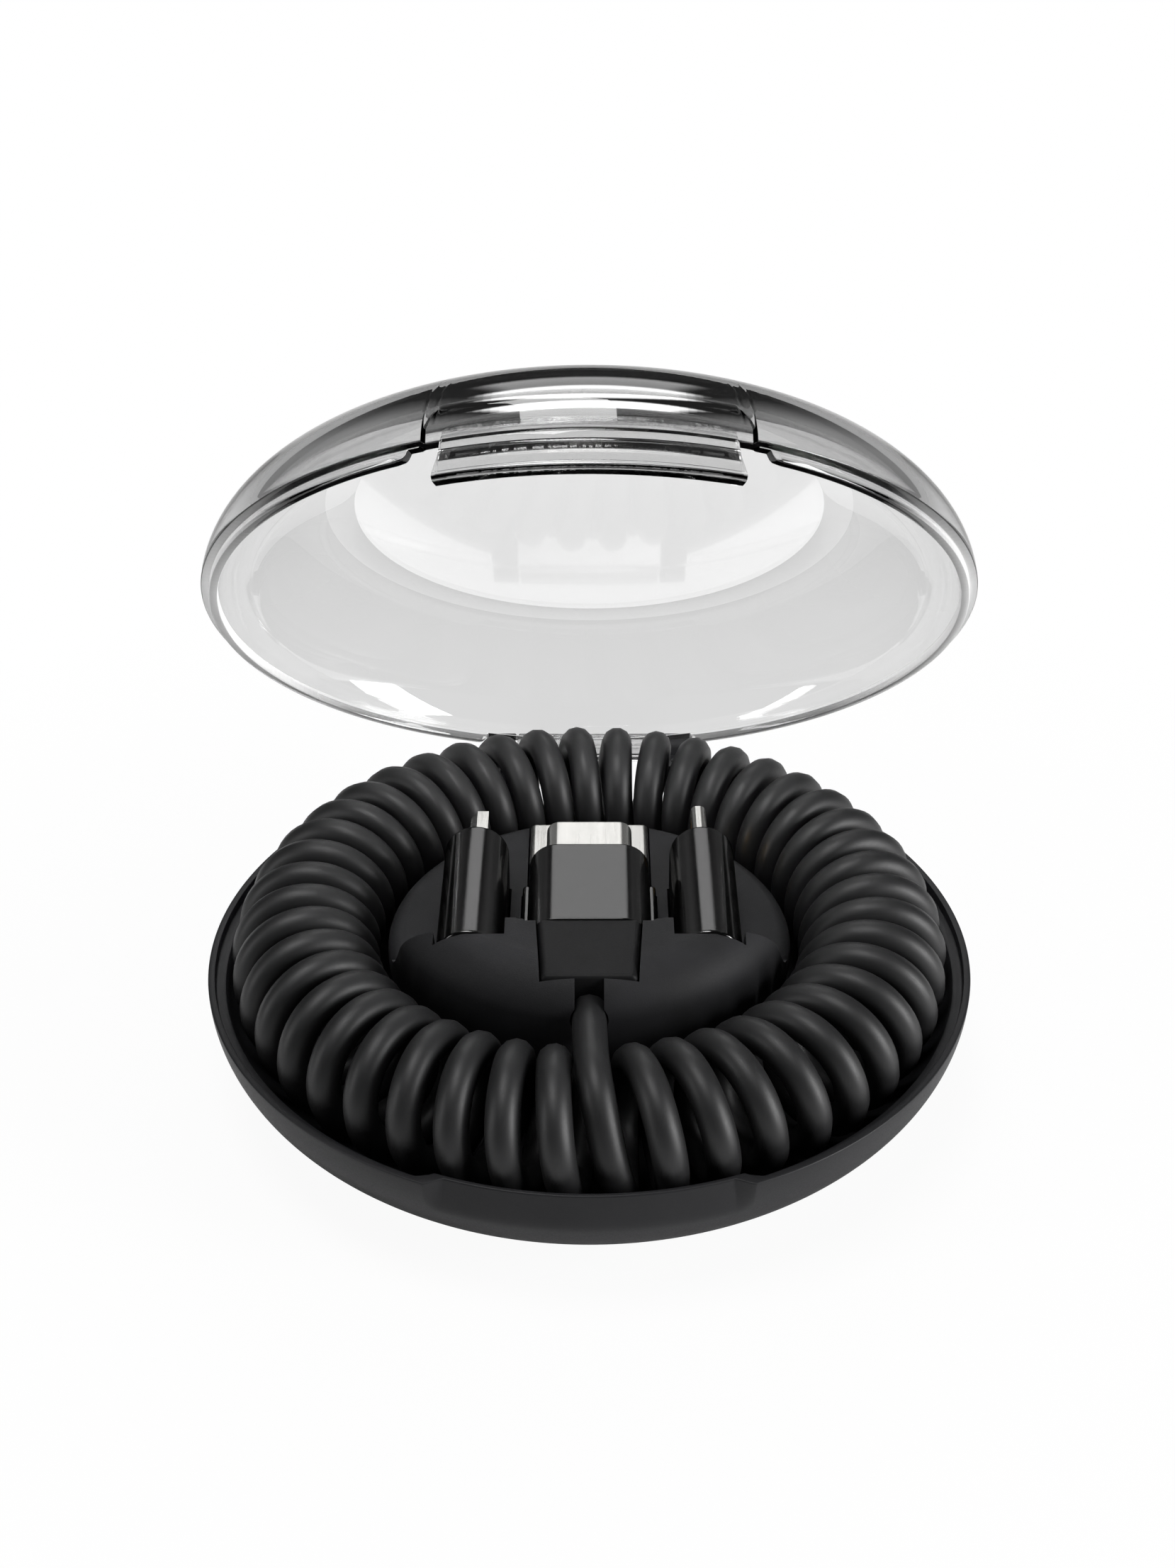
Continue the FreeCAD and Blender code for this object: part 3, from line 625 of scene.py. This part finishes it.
def solidBody(near, far, y0, y1, x, z, ease0, ease1):
    # solid from the near section to the far one, closed at both ends
    rings = []
    for place, draw in eased(y0, y1, ease0, ease1):
        k = (place - y0) / (y1 - y0)
        shape = [u + (v - u) * k for u, v in zip(near, far)]
        rings.append(ringAt(shape, place, x, z, draw))
    return capped(rings)


def hollowSleeve(shape, wall, y0, y1, x, z):
    # drawn sleeve with a rounded lip at its open end
    hold, half = supportSet["lip"], wall / 2
    rings = [ringAt(shape, place, x, z) for place in (y0, y1 - hold)]
    for v in np.radians(np.linspace(0, 180, 9)):
        rings.append(ringAt(shape, y1 - half + half * math.sin(v), x, z, half - half * math.cos(v)))
    rings += [ringAt(shape, place, x, z, wall) for place in (y1 - hold, y0)]
    return np.array(rings), True, True


plugSet = {
    # sections are width, height and corner; an ease is the rounding at the near and the far end
    "oneHeight": 18.9, "oneBody": (11.5, 6.2, 2.75), "oneNear": -9.55, "oneFar": 2.95, "oneEase": (0.12, 0.3),
    "bootFar": (9.45, 5.9, 0.6), "bootNear": (8.5, 5.0, 0.6), "bootEnd": -17.45, "bootEase": (0.35, 0.1),
    "oneShell": (8.34, 2.56, 1.28), "oneTip": 9.6,
    "twoHeight": 12.7, "twoBody": (13.0, 6.2, 0.4), "twoNear": -6.0, "twoFar": 4.82, "twoEase": (0.02, 0.3),
    "twoBoot": (8.4, 5.0, 1.2), "twoEnd": -16.5, "twoBootEase": (0.3, 0.02),
    "twoShell": (12.0, 4.5, 0.55), "twoTip": 17.16, "shellWall": 0.3, "shellRoot": 1.5,
    "sideX": 10.9, "sideHeight": 16.25, "sideBody": (6.2, 11.5, 3.1), "sideNear": -11.6, "sideFar": 6.1,
    "sideEase": (0.3, 0.45), "socket": (3.16, 8.94, 1.58), "socketDepth": 6.8, "socketEase": 0.1,
}


def socketBody(want, x, z):
    # adapter body whose skin turns in at its near end to line the socket
    y0, y1, lead = want["sideNear"], want["sideFar"], want["socketEase"]
    hole = [ringAt(want["socket"], place, x, z) for place in (y0 + want["socketDepth"], y0 + lead)]
    hole.append(ringAt(want["socket"], y0, x, z, -lead))
    skin = [ringAt(want["sideBody"], place, x, z, draw) for place, draw in eased(y0, y1, *want["sideEase"])]
    return capped(hole + skin)


def makePlugs(want):
    z1, z2, z3 = want["oneHeight"], want["twoHeight"], want["sideHeight"]
    wall, root, aside = want["shellWall"], want["shellRoot"], want["sideX"]
    oneBody = solidBody(
        want["oneBody"], want["oneBody"], want["oneNear"], want["oneFar"], 0, z1, *want["oneEase"])
    oneBoot = solidBody(
        want["bootNear"], want["bootFar"], want["bootEnd"], want["oneNear"], 0, z1, *want["bootEase"])
    oneShell = hollowSleeve(want["oneShell"], wall, want["oneFar"] - root, want["oneTip"], 0, z1)
    twoBody = solidBody(
        want["twoBody"], want["twoBody"], want["twoNear"], want["twoFar"], 0, z2, *want["twoEase"])
    twoBoot = solidBody(
        want["twoBoot"], want["twoBody"], want["twoEnd"], want["twoNear"], 0, z2, *want["twoBootEase"])
    twoShell = hollowSleeve(want["twoShell"], wall, want["twoFar"] - root, want["twoTip"], 0, z2)
    made = {}
    for name, node, grids, material, slot in (
            ("plugOneHousing", "type_c_housing", [oneBody], polishedAbs, "gloss_black"),
            ("plugOneBoot", "type_c_boot", [oneBoot], bootRubber, "soft_black"),
            ("plugOneShell", "type_c_shell", [oneShell], nickel, "steel"),
            ("plugTwoHousing", "type_a_housing", [twoBody, twoBoot], polishedAbs, "gloss_black"),
            ("plugTwoShell", "type_a_shell", [twoShell], nickel, "steel"),
            ("adapterLeft", "micro_b_housing", [socketBody(want, -aside, z3)], polishedAbs, "gloss_black"),
            ("adapterRight", "blade_housing", [socketBody(want, aside, z3)], polishedAbs, "gloss_black")):
        made[name] = putMesh(name, grids, material, "base")
        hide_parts(node)
    return made


plugs = makePlugs(plugSet)


# Cable: from plug one over the top of the ring, round it in 43 turns, and under to plug two

cableSet = {
    "radius": 1.55, "ring": 27.15, "middle": 12.6, "across": 5.5, "up": 5.45,
    "pitch": 8.18, "perTurn": 16, "firstInner": 8.0, "startTurn": -0.375, "stopTurn": 42.8125,
    "smooth": 3, "sides": 4,
    "frontRoute": [(0.0, -17.45, 17.9), (0.0, -21.8, 17.9), (0.4, -28.6, 18.9), (2.0, -32.5, 11.8)],
    "rearRoute": [(-0.2, -22.3, 10.8), (0.0, -20.4, 12.7), (0.0, -16.5, 12.7)],
}


def makeCable(want):
    # each turn runs inner side, top, outer side, bottom while the azimuth gains one pitch
    # a quadratic spline passes inside its points by this share, so the turns are drawn that much larger
    shrink = (6 + 2 * math.cos(2 * math.pi / want["perTurn"])) / 8
    turn = np.arange(want["startTurn"], want["stopTurn"], 1 / want["perTurn"])
    angle = 2 * np.pi * turn
    radius = want["ring"] - want["across"] / shrink * np.cos(angle)
    height = want["middle"] + want["up"] / shrink * np.sin(angle)
    helix = around(radius, height, want["firstInner"] + want["pitch"] * turn)
    points = np.concatenate([want["frontRoute"], helix, want["rearRoute"]]) * mm
    data = bpy.data.curves.new("coiledCable", "CURVE")
    data.dimensions = "3D"
    data.resolution_u = want["smooth"]
    data.bevel_depth = want["radius"] * mm
    data.bevel_resolution = want["sides"]
    data.use_fill_caps = True
    spline = data.splines.new("NURBS")
    spline.points.add(len(points) - 1)
    spline.points.foreach_set("co", np.concatenate([points, np.ones((len(points), 1))], 1).ravel())
    spline.order_u = 3
    spline.use_endpoint_u = True
    spline.use_smooth = True
    data.materials.append(cableJacket)
    piece = bpy.data.objects.new("coiledCable", data)
    bpy.context.scene.collection.objects.link(piece)
    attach(piece, "base")
    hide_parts("cable_coil", "cable_lead_front", "cable_lead_rear")
    steps = np.linalg.norm(np.diff(points, axis=0), axis=1).sum()
    print("coiledCable", len(points), "points, runs", round(float(steps), 3), "m")
    return piece, points


cable, cablePoints = makeCable(cableSet)


# Holder: the solid's own shape with its edges eased

holderSet = {"ease": 0.22, "segments": 3, "flatAngle": 0.5, "easeAngle": 38.0}


def makeHolder(want):
    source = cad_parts["connector_holder"]
    mesh = source.data.copy()
    mesh.name = "plugHolder"
    weld = bmesh.new()
    weld.from_mesh(mesh)
    bmesh.ops.remove_doubles(weld, verts=weld.verts, dist=weldGap)
    bmesh.ops.dissolve_limit(
        weld, angle_limit=math.radians(want["flatAngle"]), verts=weld.verts, edges=weld.edges)
    weld.to_mesh(mesh)
    weld.free()
    mesh.polygons.foreach_set("use_smooth", np.ones(len(mesh.polygons), dtype=bool))
    mesh.set_sharp_from_angle(angle=math.radians(sharpAngle))
    mesh.materials.clear()
    mesh.materials.append(softInsert)
    piece = bpy.data.objects.new("plugHolder", mesh)
    bpy.context.scene.collection.objects.link(piece)
    ease = piece.modifiers.new("ease", "BEVEL")
    ease.width = want["ease"] * mm
    ease.segments = want["segments"]
    ease.limit_method = "ANGLE"
    ease.angle_limit = math.radians(want["easeAngle"])
    ease.harden_normals = True
    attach(piece, "base")
    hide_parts("connector_holder")
    print("plugHolder", len(mesh.polygons), "faces")


makeHolder(holderSet)

# Small solids keep their shape and take their real finish
for names, material in (
        (("micro_b_shell", "micro_b_socket_shell", "blade_tip", "blade_socket_shell"), nickel),
        (("type_c_insert", "type_a_tongue", "micro_b_insert",
          "micro_b_socket_tongue", "blade_socket_tongue"), carrier),
        (("type_c_contacts", "type_a_contacts", "blade_contacts"), goldFlash), (("hinge_pin",), clearPc)):
    for name in names:
        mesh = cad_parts[name].data
        if not mesh.materials:
            mesh.materials.append(material)
        for i in range(len(mesh.materials)):
            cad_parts[name].material_slots[i].material = material


# Stage: pale floor and soft studio light

stageSet = {
    "floor": 4.0, "paper": "#f4f4f4", "lift": 0.94,
    "near": 38.0, "far": 48.0, "fade": 77.0, "end": 110.0,   # mm from the middle of the case
    "mirrorLoss": 0.4,               # share of the floor's white that is lost at each mirroring
    "room": "#1c1c1c", "haze": "#303030", "sideHaze": "#e4e4e4",
    "aside": (0.25, 0.45),           # where the side haze comes in, from the middle plane to one side
    "depths": (3.0, 5.5),            # bounces after which mirrored light sees the haze too
    "panel": 2.2, "wide": 0.22, "middle": 0.57, "tall": 0.14, "soft": 0.04,
}


def makeStage(want):
    # paper that the camera sees white; mirrored or refracted it is white only clear of the case's own shadow
    material, tree = emptyMaterial("paperFloor")
    path = addNode(tree, "ShaderNodeLightPath")
    place = addNode(tree, "ShaderNodeTexCoord").outputs["Object"]
    away = addNode(tree, "ShaderNodeVectorMath", {0: place}, operation="LENGTH")
    clearOf = addNode(tree, "ShaderNodeMapRange", {
        "Value": away.outputs["Value"], "From Min": want["near"] * mm, "From Max": want["far"] * mm})
    nearby = addNode(tree, "ShaderNodeMapRange", {
        "Value": away.outputs["Value"], "From Min": want["end"] * mm, "From Max": want["fade"] * mm})
    mirrored = addNode(tree, "ShaderNodeMath", {
        0: path.outputs["Is Glossy Ray"], 1: nearby.outputs["Result"]}, operation="MULTIPLY")
    unmirrored = addNode(tree, "ShaderNodeMath", {
        0: path.outputs["Glossy Depth"], 1: -want["mirrorLoss"], 2: 1.0},
        operation="MULTIPLY_ADD", use_clamp=True)
    refracted = addNode(tree, "ShaderNodeMath", {
        0: path.outputs["Is Transmission Ray"], 1: unmirrored.outputs["Value"]}, operation="MULTIPLY")
    bent = addNode(tree, "ShaderNodeMath", {
        0: refracted.outputs["Value"], 1: mirrored.outputs["Value"]}, operation="MAXIMUM")
    bent = addNode(tree, "ShaderNodeMath", {
        0: bent.outputs["Value"], 1: clearOf.outputs["Result"]}, operation="MULTIPLY")
    seen = addNode(tree, "ShaderNodeMath", {
        0: path.outputs["Is Camera Ray"], 1: bent.outputs["Value"]}, operation="MAXIMUM")
    lift = addNode(tree, "ShaderNodeMapRange", {
        "Value": away.outputs["Value"], "From Min": want["near"] * mm, "From Max": want["end"] * mm,
        "To Min": want["lift"], "To Max": 1.0})
    part = addNode(tree, "ShaderNodeMath", {
        0: seen.outputs["Value"], 1: lift.outputs["Result"]}, operation="MULTIPLY")
    paper = addNode(tree, "ShaderNodeBsdfDiffuse", {"Color": tint(want["paper"])})
    glow = addNode(tree, "ShaderNodeEmission", {"Color": (1, 1, 1, 1), "Strength": 1.0})
    mix = addNode(tree, "ShaderNodeMixShader", {
        "Fac": part.outputs["Value"], 1: paper.outputs["BSDF"], 2: glow.outputs["Emission"]})
    addNode(tree, "ShaderNodeOutputMaterial", {"Surface": mix.outputs["Shader"]})
    s = want["floor"] / 2
    mesh = bpy.data.meshes.new("paperFloor")
    mesh.from_pydata([(-s, -s, 0), (s, -s, 0), (s, s, 0), (-s, s, 0)], [], [(0, 1, 2, 3)])
    mesh.materials.append(material)
    floor = bpy.data.objects.new("paperFloor", mesh)
    bpy.context.scene.collection.objects.link(floor)
    # room: dim all round, with one soft white panel behind and above the case
    world = bpy.data.worlds.new("studio")
    bpy.context.scene.world = world
    world.use_nodes = True
    tree = world.node_tree
    tree.nodes.clear()
    path = addNode(tree, "ShaderNodeLightPath")
    way = addNode(tree, "ShaderNodeTexCoord")
    split = addNode(tree, "ShaderNodeSeparateXYZ", {"Vector": way.outputs["Generated"]})
    aside = addNode(tree, "ShaderNodeMath", {0: split.outputs["X"]}, operation="ABSOLUTE")
    across = addNode(tree, "ShaderNodeMapRange", {
        "Value": aside.outputs["Value"],
        "From Min": want["wide"] + want["soft"], "From Max": want["wide"] - want["soft"]},
        interpolation_type="SMOOTHSTEP")
    middle = addNode(tree, "ShaderNodeMath", {0: split.outputs["Z"], 1: want["middle"]}, operation="SUBTRACT")
    middle = addNode(tree, "ShaderNodeMath", {0: middle.outputs["Value"]}, operation="ABSOLUTE")
    upright = addNode(tree, "ShaderNodeMapRange", {
        "Value": middle.outputs["Value"],
        "From Min": want["tall"] + want["soft"], "From Max": want["tall"] - want["soft"]},
        interpolation_type="SMOOTHSTEP")
    behind = addNode(tree, "ShaderNodeMath", {0: split.outputs["Y"], 1: 0.0}, operation="GREATER_THAN")
    box = addNode(tree, "ShaderNodeMath", {
        0: across.outputs["Result"], 1: upright.outputs["Result"]}, operation="MULTIPLY")
    box = addNode(tree, "ShaderNodeMath", {
        0: box.outputs["Value"], 1: behind.outputs["Value"]}, operation="MULTIPLY")
    # seen through the lid the room is hazy, and paler to both sides
    beside = addNode(tree, "ShaderNodeMapRange", {
        "Value": aside.outputs["Value"], "From Min": want["aside"][0], "From Max": want["aside"][1]})
    haze = addNode(tree, "ShaderNodeMix", {
        "Factor": beside.outputs["Result"], "A": tint(want["haze"]), "B": tint(want["sideHaze"])},
        data_type="RGBA")
    straight = addNode(tree, "ShaderNodeMath", {
        0: path.outputs["Glossy Depth"], 1: 0.5}, operation="LESS_THAN")
    deep = addNode(tree, "ShaderNodeMapRange", {
        "Value": path.outputs["Ray Depth"], "From Min": want["depths"][0], "From Max": want["depths"][1]})
    inLid = addNode(tree, "ShaderNodeMath", {
        0: straight.outputs["Value"], 1: deep.outputs["Result"]}, operation="MAXIMUM")
    inLid = addNode(tree, "ShaderNodeMath", {
        0: inLid.outputs["Value"], 1: path.outputs["Is Transmission Ray"]}, operation="MULTIPLY")
    wall = addNode(tree, "ShaderNodeMix", {
        "Factor": inLid.outputs["Value"], "A": tint(want["room"]), "B": haze.outputs["Result"]},
        data_type="RGBA")
    dim = addNode(tree, "ShaderNodeBackground", {"Color": wall.outputs["Result"], "Strength": 1.0})
    panel = addNode(tree, "ShaderNodeBackground", {"Color": (1, 1, 1, 1), "Strength": want["panel"]})
    room = addNode(tree, "ShaderNodeMixShader", {
        "Fac": box.outputs["Value"], 1: dim.outputs["Background"], 2: panel.outputs["Background"]})
    white = addNode(tree, "ShaderNodeBackground", {"Color": (1, 1, 1, 1), "Strength": 1.0})
    mix = addNode(tree, "ShaderNodeMixShader", {
        "Fac": path.outputs["Is Camera Ray"], 1: room.outputs["Shader"], 2: white.outputs["Background"]})
    addNode(tree, "ShaderNodeOutputWorld", {"Surface": mix.outputs["Shader"]})


lampSet = [
    {"name": "topSoftbox", "at": (-0.1, -0.06, 0.75), "aim": (0, 0, 0.01),
     "size": (0.4, 0.25), "watts": 2.8},
    {"name": "rightSoftbox", "at": (0.60, -0.22, 0.20), "aim": (0, 0, 0.02),
     "size": (0.25, 0.4), "watts": 4.5},
    {"name": "leftSoftbox", "at": (-0.60, -0.18, 0.24), "aim": (0, 0, 0.02),
     "size": (0.08, 0.4), "watts": 0.9},
]


def makeLamps(wanted):
    for want in wanted:
        data = bpy.data.lights.new(want["name"], "AREA")
        data.shape = "RECTANGLE"
        data.size, data.size_y = want["size"]
        data.energy = want["watts"]
        lamp = bpy.data.objects.new(want["name"], data)
        lamp.location = want["at"]
        aim = np.array(want["aim"]) - np.array(want["at"])
        flat = math.hypot(aim[0], aim[1])
        lamp.rotation_euler = (math.atan2(flat, -aim[2]), 0, math.atan2(aim[1], aim[0]) - math.pi / 2)
        bpy.context.scene.collection.objects.link(lamp)


makeStage(stageSet)
makeLamps(lampSet)
print("stage lit")
